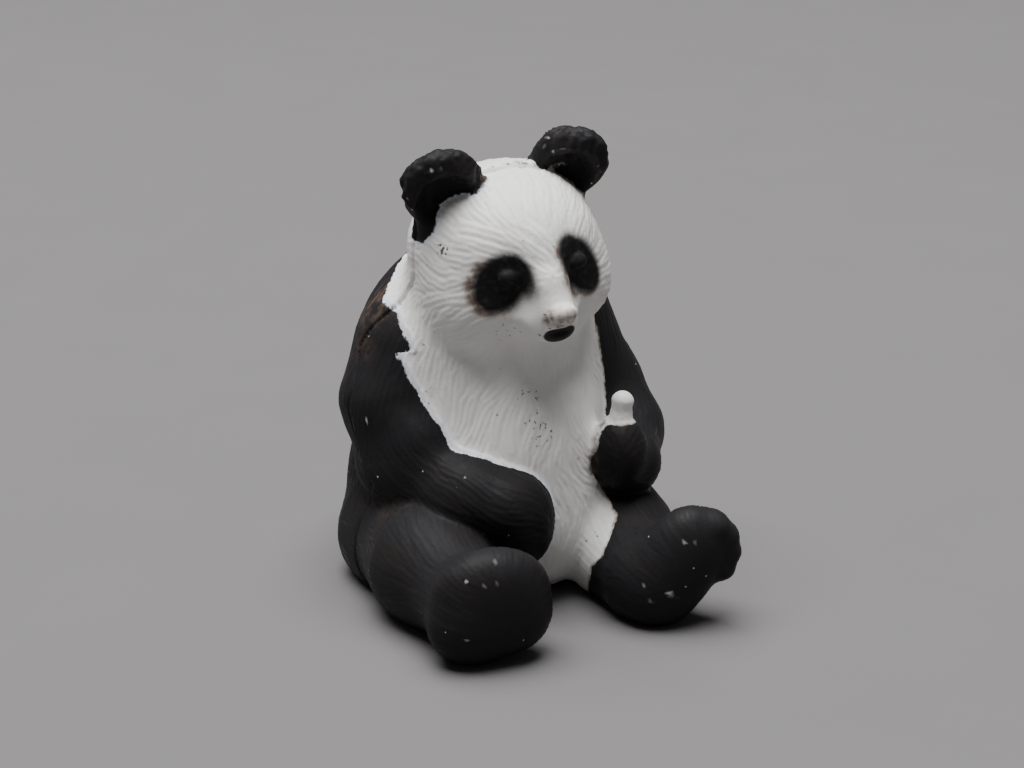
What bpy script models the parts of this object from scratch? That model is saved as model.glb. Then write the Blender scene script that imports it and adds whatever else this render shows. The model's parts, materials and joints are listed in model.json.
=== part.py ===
"""A seated panda figurine, moulded in one piece of vinyl and painted by hand.

The panda sits on its rump with both legs forward. Its head turns a little to its right,
its right arm lies across the belly, and its left paw holds a stub of bamboo upright.
It faces -Y, its own left is +X, and it stands on z = 0.

The figure is modelled as a sculptor lays up clay: rounded masses are set in place as
Blender primitives, joined by a voxel remesh, and every join is then blended to its own
softness. Masses and hollows are placed in shares of the figure's height.
"""

import math

import bmesh
import bpy
import numpy as np
from mathutils import Euler, Matrix, Vector

# Driving sizes, in metres.
HEIGHT = 0.050
EAR_WALL = 0.0009
BAMBOO_RADIUS = 0.00125
MOUTH_GAP = 0.0011
BASE_EDGE_ROUNDING = 0.0005

# The places below are counted in shares of the height: the figure is this many shares tall.
SHARES_TALL = 49.59
SHARE = HEIGHT / SHARES_TALL
EAR_WALL_SHARES = EAR_WALL / SHARE
BAMBOO_SHARES = BAMBOO_RADIUS / SHARE
MOUTH_SHARES = MOUTH_GAP / SHARE
BASE_EDGE_SHARES = BASE_EDGE_ROUNDING / SHARE

# Mesh fineness, in shares, and how many triangles the finished solid keeps.
ROUGH_VOXEL = 0.55
FINE_VOXEL = 0.36
TRIANGLES = 9400
SETTLE_ROUNDS = 7
SLOPE_STEP = 0.03
LONGEST_MOVE = 0.5
BASE_TRIM = 0.05

# Right and left are the panda's own.
RIGHT = -1
LEFT = 1

# The head's place and its pitch, roll and turn in degrees.
HEAD_CENTRE = (-0.3, -2.5, 37.0)
HEAD_TURN = (10.0, -6.0, -1.0)

TOE_ANGLES = (-38.0, -6.0, 26.0, 58.0)
TOE_RING = 3.2


def turned(turn):
    """Rotation matrix for turns about X, then Y, then Z, in degrees."""
    return np.array(Euler([math.radians(angle) for angle in turn], "XYZ").to_matrix())


def blend_in(first, second, softness):
    """Union of two distances with a fillet of the given softness."""
    overlap = np.maximum(softness - np.abs(first - second), 0.0) / softness
    return np.minimum(first, second) - overlap * overlap * softness * 0.25


def carve_out(first, second, softness):
    """First distance without the second, with a rounded edge."""
    return -blend_in(-first, second, softness)


class Ball:
    """An ellipsoid."""

    def __init__(self, centre, radii, turn=(0.0, 0.0, 0.0)):
        self.centre = np.array(centre, float)
        self.radii = np.array(radii, float)
        self.turn = turned(turn)

    def distance(self, points):
        local = (points - self.centre) @ self.turn
        near = np.linalg.norm(local / self.radii, axis=1)
        slope = np.linalg.norm(local / self.radii**2, axis=1)
        return near * (near - 1.0) / np.maximum(slope, 1e-6)

    def lay(self, clay, placement):
        size = Matrix.Diagonal((*self.radii, 1.0))
        turn = Matrix(self.turn.tolist()).to_4x4()
        place = placement @ Matrix.Translation(self.centre) @ turn @ size
        bmesh.ops.create_uvsphere(clay, u_segments=24, v_segments=16, radius=1.0, matrix=place)


class Limb:
    """A chain of tapered stretches between round stations (x, y, z, radius)."""

    def __init__(self, stations, softness):
        self.stations = [np.array(station, float) for station in stations]
        self.softness = softness

    def distance(self, points):
        total = None
        for start, end in zip(self.stations[:-1], self.stations[1:]):
            stretch = self.stretch_distance(points, start, end)
            total = stretch if total is None else blend_in(total, stretch, self.softness)
        return total

    @staticmethod
    def stretch_distance(points, start, end):
        """Distance to two balls and the cone that wraps them."""
        run = end[:3] - start[:3]
        length = np.linalg.norm(run)
        axis = run / length
        lean = (start[3] - end[3]) / length
        cosine = math.sqrt(max(1.0 - lean * lean, 1e-6))
        offset = points - start[:3]
        along = offset @ axis
        across = np.linalg.norm(offset - along[:, None] * axis, axis=1)
        foot = np.clip((along + across * lean / cosine) / length, 0.0, 1.0)
        radius = start[3] + (end[3] - start[3]) * foot
        return np.linalg.norm(offset - foot[:, None] * run, axis=1) - radius

    def lay(self, clay, placement):
        for station in self.stations:
            place = placement @ Matrix.Translation(station[:3])
            bmesh.ops.create_uvsphere(clay, u_segments=20, v_segments=12, radius=station[3], matrix=place)
        for start, end in zip(self.stations[:-1], self.stations[1:]):
            run = Vector(end[:3] - start[:3])
            middle = Vector(start[:3]) + run * 0.5
            turn = run.to_track_quat("Z", "Y").to_matrix().to_4x4()
            bmesh.ops.create_cone(clay, cap_ends=True, segments=20, radius1=start[3], radius2=end[3],
                                  depth=run.length, matrix=placement @ Matrix.Translation(middle) @ turn)


class Mass:
    """A body part: forms added to or carved from one another in order."""

    def __init__(self, placement=None):
        self.placement = placement or Matrix.Identity(4)
        self.steps = []

    def add(self, form, softness=1.0):
        self.steps.append((blend_in, form, softness))
        return self

    def carve(self, form, softness=1.0):
        self.steps.append((carve_out, form, softness))
        return self

    def distance(self, points):
        inward = np.array(self.placement.inverted())
        local = points @ inward[:3, :3].T + inward[:3, 3]
        total = self.steps[0][1].distance(local)
        for join, form, softness in self.steps[1:]:
            soft = softness(local) if callable(softness) else softness
            total = join(total, form.distance(local), soft)
        return total

    def lay(self, clay, hollows, placement):
        """Lays the masses into one mesh and the hollows into another."""
        for join, form, softness in self.steps:
            if isinstance(form, Mass):
                form.lay(clay, hollows, placement @ self.placement)
            else:
                form.lay(clay if join is blend_in else hollows, placement @ self.placement)


def shoulder_softness(points):
    """Arms stand clear of the chest at the paws and melt into the back at the shoulders."""
    return 0.8 + 2.6 * np.clip((points[:, 2] - 17.0) / 9.0, 0.0, 1.0)


def torso():
    """Rump, back, belly and neck."""
    mass = Mass()
    mass.add(Ball((-0.6, 3.2, 17.0), (13.4, 12.8, 17.0)))
    mass.add(Ball((-1.0, 3.4, 8.6), (14.7, 13.3, 11.6)), 4.0)
    mass.add(Ball((-0.9, 5.4, 25.2), (12.0, 12.0, 10.2)), 4.0)
    mass.add(Ball((0.0, -3.5, 13.0), (9.5, 9.2, 11.0)), 4.0)
    mass.add(Ball((-0.6, 1.0, 31.0), (9.2, 9.5, 7.0)), 4.0)
    mass.add(Ball((1.4, -3.4, 7.6), (8.8, 9.8, 8.2)), 3.0)
    return mass


def ear(side):
    """A round ear, cupped towards the front, on a short root."""
    if side == RIGHT:
        centre, turn, half_width = (-6.7, 0.8, 8.4), (10.0, -18.0, -8.0), 4.3
    else:
        centre, turn, half_width = (8.0, 1.4, 7.7), (10.0, 42.0, -25.0), 3.7
    mass = Mass(Matrix.Translation(centre) @ Matrix(turned(turn).tolist()).to_4x4())
    mass.add(Ball((0.0, 0.0, 0.0), (half_width, 2.1, 4.5)))
    mass.add(Ball((side * 1.0, 0.0, -3.7), (2.8, 1.8, 2.8)), 1.0)
    cup_half_width = half_width - EAR_WALL_SHARES
    mass.carve(Ball((side * 0.5, -2.6, -0.6), (cup_half_width, 3.0, 3.5)), 0.8)
    return mass


def eye_socket(side):
    """The dished patch around an eye."""
    return Ball((side * 4.6, -10.6, 1.1), (2.9, 2.3, 3.1), (0.0, side * 28.0, side * 22.0))


def eyeball(side):
    """The small round eye in its socket."""
    return Ball((side * 3.75, -8.6, 1.8), (1.25, 0.95, 0.9))


def head():
    """Skull, brow, cheeks, sunken eyes, muzzle, mouth and ears."""
    turn = Matrix(turned(HEAD_TURN).tolist()).to_4x4()
    mass = Mass(Matrix.Translation(HEAD_CENTRE) @ turn)
    mass.add(Ball((0.0, 1.0, 0.2), (10.0, 9.8, 8.5)))
    mass.add(Ball((0.0, -3.5, 1.8), (6.8, 6.0, 5.6)), 3.0)
    for side in (RIGHT, LEFT):
        mass.add(Ball((side * 5.0, -2.8, -3.4), (5.0, 5.4, 4.8)), 3.0)
    mass.add(Ball((0.0, -8.2, -2.2), (3.6, 4.6, 3.1), (12.0, 0.0, 0.0)), 2.0)
    for side in (RIGHT, LEFT):
        mass.carve(eye_socket(side), 1.2)
        mass.add(eyeball(side), 0.5)
    nose_bridge = Limb([(0.0, -7.2, 3.6, 1.6), (0.0, -10.1, 0.9, 1.8), (0.0, -12.4, -1.5, 1.7)], 0.8)
    mass.add(nose_bridge, 1.6)
    mass.add(Ball((0.0, -13.7, -0.9), (1.45, 0.95, 0.9)), 0.6)
    lower_lip = Ball((0.0, -10.4, -3.9), (2.2, 2.6, 1.3), (-8.0, 0.0, 0.0))
    mass.add(lower_lip, 1.4)
    mouth = Ball((0.0, -13.5, -3.3), (1.8, 1.1, MOUTH_SHARES * 0.5), (-10.0, 0.0, 0.0))
    mass.carve(mouth, 0.8)
    for side in (RIGHT, LEFT):
        mass.add(ear(side), 1.0)
    return mass


def right_arm():
    """The arm that lies across the belly, with its paw hanging over the thigh."""
    mass = Mass()
    mass.add(Limb([(-9.5, 2.3, 25.7, 5.6), (-11.5, 1.5, 20.2, 5.7), (-11.5, -0.9, 14.2, 5.0),
                   (-7.6, -9.0, 12.6, 4.4), (-5.0, -12.0, 12.2, 4.0)], 2.0))
    mass.add(Ball((-3.5, -13.1, 10.3), (3.3, 3.0, 4.6)), 1.5)
    elbow_fold = Ball((-10.8, -3.9, 17.6), (3.4, 3.4, 3.8))
    mass.add(elbow_fold, 2.5)
    return mass


def left_arm():
    """The bent arm whose fist holds the bamboo."""
    mass = Mass()
    mass.add(Limb([(9.0, 2.5, 27.0, 4.9), (12.3, 0.7, 19.0, 4.4), (13.2, -2.8, 14.7, 4.4),
                   (10.4, -9.6, 13.8, 3.8)], 2.0))
    fist = Ball((8.5, -11.6, 15.9), (3.0, 3.2, 4.1))
    mass.add(fist, 1.0)
    mass.add(bamboo(), 0.9)
    return mass


def bamboo():
    """The stub of bamboo: a flared foot in the paw, a waist and a rounded top."""
    waist = BAMBOO_SHARES * 0.84
    foot = BAMBOO_SHARES * 1.38
    return Limb([(8.6, -11.4, 19.0, foot), (8.75, -11.5, 20.4, waist),
                 (8.9, -11.5, 21.4, BAMBOO_SHARES)], 0.3)


def right_leg():
    """The leg that points straight ahead, ending in a broad blunt foot."""
    mass = Mass()
    mass.add(Limb([(-10.4, 2.0, 5.6, 7.2), (-12.0, -9.0, 5.6, 6.1), (-12.0, -18.0, 5.4, 5.1)], 3.0))
    seat = Ball((-9.6, 2.6, 3.4), (6.8, 7.6, 5.0))
    mass.add(seat, 3.0)
    mass.add(Ball((-12.7, -21.3, 4.5), (4.9, 3.6, 4.7), (6.0, 0.0, -8.0)), 1.2)
    mass.add(Ball((-8.9, -22.0, 5.2), (4.3, 3.2, 4.4)), 1.2)
    mass.add(Ball((-11.0, -21.4, 7.9), (5.9, 3.4, 4.4), (14.0, 0.0, -8.0)), 1.5)
    return mass


def left_leg():
    """The leg that leans outwards, with the heel down and the toes up and out."""
    mass = Mass()
    mass.add(Limb([(9.5, 1.0, 8.0, 7.6), (9.3, -10.0, 5.0, 5.8), (8.5, -18.2, 4.2, 5.0)], 3.0))
    mass.add(Ball((9.0, -21.0, 4.4), (4.4, 3.3, 4.6), (0.0, 25.0, -8.0)), 1.2)
    mass.add(Ball((11.8, -21.9, 8.5), (4.4, 3.0, 4.3), (0.0, 35.0, -10.0)), 3.0)
    for angle in TOE_ANGLES:
        across = TOE_RING * math.cos(math.radians(angle))
        up = TOE_RING * math.sin(math.radians(angle))
        mass.add(Ball((12.3 + across, -22.7, 8.0 + up), (1.5, 1.9, 1.5)), 0.8)
    return mass


def panda():
    """The whole figure before it is cut level on its underside."""
    mass = Mass()
    mass.add(torso())
    mass.add(right_leg(), 1.2)
    mass.add(left_leg(), 1.2)
    mass.add(right_arm(), shoulder_softness)
    mass.add(left_arm(), shoulder_softness)
    mass.add(head(), 2.0)
    return mass


def figure_distance(points, figure):
    """Distance to the figure cut level at z = 0 with a softly rounded edge."""
    return -blend_in(-figure.distance(points), points[:, 2], BASE_EDGE_SHARES)


def settle(points, figure):
    """Draws points along the slope of the distance on to the blended surface."""
    for _ in range(SETTLE_ROUNDS):
        gap = figure_distance(points, figure)
        slope = np.zeros_like(points)
        for axis in range(3):
            step = np.zeros(3)
            step[axis] = SLOPE_STEP
            ahead = figure_distance(points + step, figure)
            behind = figure_distance(points - step, figure)
            slope[:, axis] = (ahead - behind) / (2.0 * SLOPE_STEP)
        steepness = np.maximum((slope * slope).sum(axis=1), 0.25)
        move = np.clip(gap / steepness, -LONGEST_MOVE, LONGEST_MOVE)
        points = points - move[:, None] * slope
    return points


def mesh_points(mesh):
    points = np.empty(len(mesh.vertices) * 3, np.float32)
    mesh.vertices.foreach_get("co", points)
    return points.reshape(-1, 3).astype(float)


def settle_mesh(mesh, figure):
    points = settle(mesh_points(mesh), figure)
    mesh.vertices.foreach_set("co", points.astype(np.float32).ravel())
    mesh.update()


def new_object(name, shape):
    """Turns a bmesh into an object in the scene."""
    mesh = bpy.data.meshes.new(name)
    shape.to_mesh(mesh)
    shape.free()
    thing = bpy.data.objects.new(name, mesh)
    bpy.context.collection.objects.link(thing)
    return thing


def apply_modifiers(thing):
    """Replaces an object's mesh by the one its modifiers make."""
    bpy.context.view_layer.update()
    shaped = bpy.data.meshes.new_from_object(thing.evaluated_get(bpy.context.evaluated_depsgraph_get()))
    thing.modifiers.clear()
    thing.data = shaped


def remesh(thing, voxel):
    modifier = thing.modifiers.new("Join", "REMESH")
    modifier.mode = "VOXEL"
    modifier.voxel_size = voxel
    apply_modifiers(thing)


def cut_away(thing, cutter):
    """Takes the cutter's shapes out of an object and removes the cutter."""
    modifier = thing.modifiers.new("Hollows", "BOOLEAN")
    modifier.operation = "DIFFERENCE"
    modifier.object = cutter
    apply_modifiers(thing)
    bpy.data.objects.remove(cutter, do_unlink=True)


def thin_out(thing, triangles):
    """Keeps triangles where the form curves and drops them where it is plain."""
    now = sum(len(polygon.vertices) - 2 for polygon in thing.data.polygons)
    modifier = thing.modifiers.new("Thin out", "DECIMATE")
    modifier.ratio = min(1.0, triangles / now)
    modifier.use_collapse_triangulate = True
    apply_modifiers(thing)


def level_base(mesh):
    """Cuts the underside to true flat faces and sets it on z = 0."""
    clay = bmesh.new()
    clay.from_mesh(mesh)
    geometry = clay.verts[:] + clay.edges[:] + clay.faces[:]
    cut = bmesh.ops.bisect_plane(clay, geom=geometry, dist=1e-5, plane_co=(0.0, 0.0, BASE_TRIM),
                                 plane_no=(0.0, 0.0, 1.0), clear_inner=True)
    rim = [edge for edge in cut["geom_cut"] if isinstance(edge, bmesh.types.BMEdge)]
    bmesh.ops.edgeloop_fill(clay, edges=rim)
    bmesh.ops.dissolve_degenerate(clay, dist=1e-4, edges=clay.edges[:])
    bmesh.ops.triangulate(clay, faces=clay.faces[:])
    bmesh.ops.recalc_face_normals(clay, faces=clay.faces[:])
    bmesh.ops.translate(clay, verts=clay.verts[:], vec=(0.0, 0.0, -BASE_TRIM))
    clay.to_mesh(mesh)
    clay.free()


def to_metres(mesh):
    """Sizes the mesh from shares to metres and centres its footprint on the origin."""
    points = mesh_points(mesh)
    middle = (points.min(axis=0) + points.max(axis=0)) * 0.5
    points[:, :2] -= middle[:2]
    mesh.vertices.foreach_set("co", (points * SHARE).astype(np.float32).ravel())
    mesh.update()


def painted_vinyl():
    material = bpy.data.materials.new("painted_vinyl")
    material.use_nodes = True
    shader = material.node_tree.nodes["Principled BSDF"]
    shader.inputs["Base Color"].default_value = (0.72, 0.71, 0.68, 1.0)
    shader.inputs["Roughness"].default_value = 0.45
    shader.inputs["Metallic"].default_value = 0.0
    return material


def build_figurine():
    """Lays up, joins, blends and thins the one moulded piece."""
    figure = panda()
    clay = bmesh.new()
    hollows = bmesh.new()
    figure.lay(clay, hollows, Matrix.Identity(4))
    thing = new_object("panda", clay)
    cutter = new_object("hollows", hollows)
    remesh(thing, ROUGH_VOXEL)
    cut_away(thing, cutter)
    remesh(thing, ROUGH_VOXEL)
    settle_mesh(thing.data, figure)
    remesh(thing, FINE_VOXEL)
    settle_mesh(thing.data, figure)
    thin_out(thing, TRIANGLES)
    level_base(thing.data)
    to_metres(thing.data)
    thing.data.name = "panda"
    thing.data.materials.clear()
    thing.data.materials.append(painted_vinyl())
    thing.data.shade_smooth()
    return thing


for old in list(bpy.data.objects):
    bpy.data.objects.remove(old, do_unlink=True)
build_figurine()
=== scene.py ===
"""A sitting toy panda of painted moulded vinyl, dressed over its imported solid.

Forms, fur and paint edges are worked out in shares of the figure's height, with the same
named forms as the solid's source, and the finished mesh is turned to metres at the end.
"""

import json
import logging
import math
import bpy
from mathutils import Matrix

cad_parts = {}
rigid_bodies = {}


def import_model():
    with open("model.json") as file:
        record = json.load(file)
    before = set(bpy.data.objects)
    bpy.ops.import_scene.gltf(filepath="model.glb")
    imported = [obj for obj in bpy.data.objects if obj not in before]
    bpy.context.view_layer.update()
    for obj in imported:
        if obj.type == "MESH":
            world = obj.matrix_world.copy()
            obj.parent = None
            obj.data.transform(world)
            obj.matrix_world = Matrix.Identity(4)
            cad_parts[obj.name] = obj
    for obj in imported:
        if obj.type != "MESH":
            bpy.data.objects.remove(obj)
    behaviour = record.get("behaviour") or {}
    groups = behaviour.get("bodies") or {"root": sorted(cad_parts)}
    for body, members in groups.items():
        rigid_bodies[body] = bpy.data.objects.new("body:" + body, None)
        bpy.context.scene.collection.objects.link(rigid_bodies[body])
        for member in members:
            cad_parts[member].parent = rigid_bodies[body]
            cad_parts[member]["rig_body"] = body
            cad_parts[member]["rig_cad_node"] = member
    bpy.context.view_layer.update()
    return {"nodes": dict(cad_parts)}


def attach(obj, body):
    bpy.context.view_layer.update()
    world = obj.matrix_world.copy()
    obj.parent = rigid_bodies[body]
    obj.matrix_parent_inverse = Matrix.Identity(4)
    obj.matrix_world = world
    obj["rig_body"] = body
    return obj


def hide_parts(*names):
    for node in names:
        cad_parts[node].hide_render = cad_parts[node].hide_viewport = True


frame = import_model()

from concurrent.futures import ThreadPoolExecutor
from dataclasses import dataclass, field, replace
from enum import Enum
from functools import partial
from typing import Callable, Iterable, Protocol

import bpy
import numpy as np
from mathutils import Matrix, Vector

LOG = logging.getLogger("panda")
SOLID_NODE = "panda"
BODY = "root"
IMAGE_WIDTH = 1024
MM_IN_METRE = 1000.0
CORNERS = np.array(((1, -1, -1), (-1, -1, 1), (-1, 1, -1), (1, 1, 1)), np.float32)
CELL_WEIGHTS = np.array((1 << 40, 1 << 20, 1))
CELL_PRIMES = np.array((73856093, 19349663, 83492791))
SEED_PRIME = 2654435761
MIXING_PRIME = 1274126177
WORKERS = 4
SLOPE_STEP = 0.05
LEAST_STEEPNESS = 0.2
LONGEST_MOVE = 0.4

Span = tuple[float, float]
Triple = tuple[float, float, float]
Station = tuple[float, float, float, float]
Softness = float | Callable[[np.ndarray], np.ndarray]


class Side(Enum):
    """The panda's own right and left, by the sign of X."""

    RIGHT = -1
    LEFT = 1


def turned(turn: Triple) -> np.ndarray:
    """Rotation matrix for turns about X, then Y, then Z.

    Args:
        turn: The three angles in degrees.

    Returns:
        A 3 by 3 matrix.
    """
    about_x, about_y, about_z = (math.radians(angle) for angle in turn)
    cos_x, sin_x = math.cos(about_x), math.sin(about_x)
    cos_y, sin_y = math.cos(about_y), math.sin(about_y)
    cos_z, sin_z = math.cos(about_z), math.sin(about_z)
    pitch = np.array([[1, 0, 0], [0, cos_x, -sin_x], [0, sin_x, cos_x]])
    roll = np.array([[cos_y, 0, sin_y], [0, 1, 0], [-sin_y, 0, cos_y]])
    yaw = np.array([[cos_z, -sin_z, 0], [sin_z, cos_z, 0], [0, 0, 1]])
    return yaw @ roll @ pitch


def blend_in(first: np.ndarray, second: np.ndarray, softness: np.ndarray | float) -> np.ndarray:
    """Union of two distances with a fillet of the given softness."""
    overlap = np.maximum(softness - np.abs(first - second), 0.0) / softness
    return np.minimum(first, second) - overlap * overlap * softness * 0.25


def carve_out(first: np.ndarray, second: np.ndarray, softness: np.ndarray | float) -> np.ndarray:
    """First distance without the second, with a rounded edge."""
    return -blend_in(-first, second, softness)


def ramp(values: np.ndarray, low: float, high: float) -> np.ndarray:
    """Smooth step from 0 at low to 1 at high."""
    share = np.clip((values - low) / (high - low), 0.0, 1.0)
    return share * share * (3.0 - 2.0 * share)


def rest_or_full(rest: float, values: np.ndarray, reach: Span) -> np.ndarray:
    """A share that grows from rest to 1 while values go through reach."""
    return rest + (1.0 - rest) * ramp(values, *reach)


def bump(values: np.ndarray, centre: float, width: float) -> np.ndarray:
    """A smooth hump of height 1 where values are at its centre."""
    return np.exp(-((values - centre) / width) ** 2)


@dataclass(frozen=True)
class Ball:
    """An ellipsoid."""

    centre: Triple
    radii: Triple
    turn: Triple = (0.0, 0.0, 0.0)

    def distance(self, points: np.ndarray) -> np.ndarray:
        """Signed distance from the surface, close to true near it.

        Args:
            points: Rows of points.

        Returns:
            One distance for each point, negative inside.
        """
        radii = np.array(self.radii, points.dtype)
        local = (points - np.array(self.centre, points.dtype)) @ turned(self.turn).astype(points.dtype)
        scaled = local / radii
        near = np.sqrt((scaled * scaled).sum(axis=1))
        scaled /= radii
        slope = np.sqrt((scaled * scaled).sum(axis=1))
        return near * (near - 1.0) / np.maximum(slope, 1e-6)


@dataclass(frozen=True)
class Limb:
    """A chain of tapered stretches between round stations (x, y, z, radius)."""

    stations: tuple[Station, ...]
    softness: float
    core: float = 5.0
    ease: float = 0.9

    def distance(self, points: np.ndarray) -> np.ndarray:
        """Signed distance from the surface.

        Args:
            points: Rows of points.

        Returns:
            One distance for each point, negative inside.
        """
        total = None
        for start, end in zip(self.stations[:-1], self.stations[1:]):
            stretch = self.stretch(points, start, end)
            total = stretch if total is None else blend_in(total, stretch, self.softness)
        return total

    @staticmethod
    def stretch(points: np.ndarray, start: Station, end: Station) -> np.ndarray:
        """Distance to two balls and the cone that wraps them.

        Args:
            points: Rows of points.
            start: The first ball.
            end: The second ball.

        Returns:
            One distance for each point, negative inside.
        """
        first = np.array(start[:3], points.dtype)
        run = np.array(end[:3], points.dtype) - first
        length = float(np.linalg.norm(run))
        axis = run / length
        lean = (start[3] - end[3]) / length
        cosine = math.sqrt(max(1.0 - lean * lean, 1e-6))
        offset = points - first
        along = offset @ axis
        apart = offset - along[:, None] * axis
        across = np.sqrt((apart * apart).sum(axis=1))
        foot = np.clip((along + across * (lean / cosine)) / length, 0.0, 1.0)
        radius = start[3] + (end[3] - start[3]) * foot
        gap = offset - foot[:, None] * run
        return np.sqrt((gap * gap).sum(axis=1)) - radius

    def heading(self, points: np.ndarray) -> np.ndarray:
        """Direction along the limb, eased from stretch to stretch.

        Args:
            points: Rows of points.

        Returns:
            Unit rows, one for each point.
        """
        total = np.zeros_like(points)
        for start, end in zip(self.stations[:-1], self.stations[1:]):
            run = np.array(end[:3], points.dtype) - np.array(start[:3], points.dtype)
            near = np.exp(-np.maximum(self.stretch(points, start, end) + self.core, 0.0) * self.ease)
            total += near[:, None] * run / np.linalg.norm(run)
        return total / np.maximum(np.linalg.norm(total, axis=1, keepdims=True), 1e-9)


class Form(Protocol):
    """Anything with a signed distance."""

    def distance(self, points: np.ndarray) -> np.ndarray:
        """Signed distance of points from the surface."""


@dataclass
class Mass:
    """A body part: forms added to or carved from one another in order."""

    centre: Triple = (0.0, 0.0, 0.0)
    turn: Triple = (0.0, 0.0, 0.0)
    steps: list[tuple[Callable, Form, Softness]] = field(default_factory=list)

    def add(self, form: Form, softness: Softness = 1.0) -> None:
        """Joins a form on."""
        self.steps.append((blend_in, form, softness))

    def carve(self, form: Form, softness: Softness = 1.0) -> None:
        """Cuts a form away."""
        self.steps.append((carve_out, form, softness))

    def local(self, points: np.ndarray) -> np.ndarray:
        """Points as this part's own frame sees them."""
        return (points - np.array(self.centre, points.dtype)) @ turned(self.turn).astype(points.dtype)

    def distance(self, points: np.ndarray) -> np.ndarray:
        """Signed distance from the blended surface.

        Args:
            points: Rows of points.

        Returns:
            One distance for each point, negative inside.
        """
        local = self.local(points)
        total = self.steps[0][1].distance(local)
        for join, form, softness in self.steps[1:]:
            soft = softness(local) if callable(softness) else softness
            total = join(total, form.distance(local), soft)
        return total


def shoulder_softness(points: np.ndarray) -> np.ndarray:
    """Arms stand clear of the chest at the paws and melt into the back at the shoulders."""
    return 0.8 + 2.6 * np.clip((points[:, 2] - 17.0) / 9.0, 0.0, 1.0)


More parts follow.
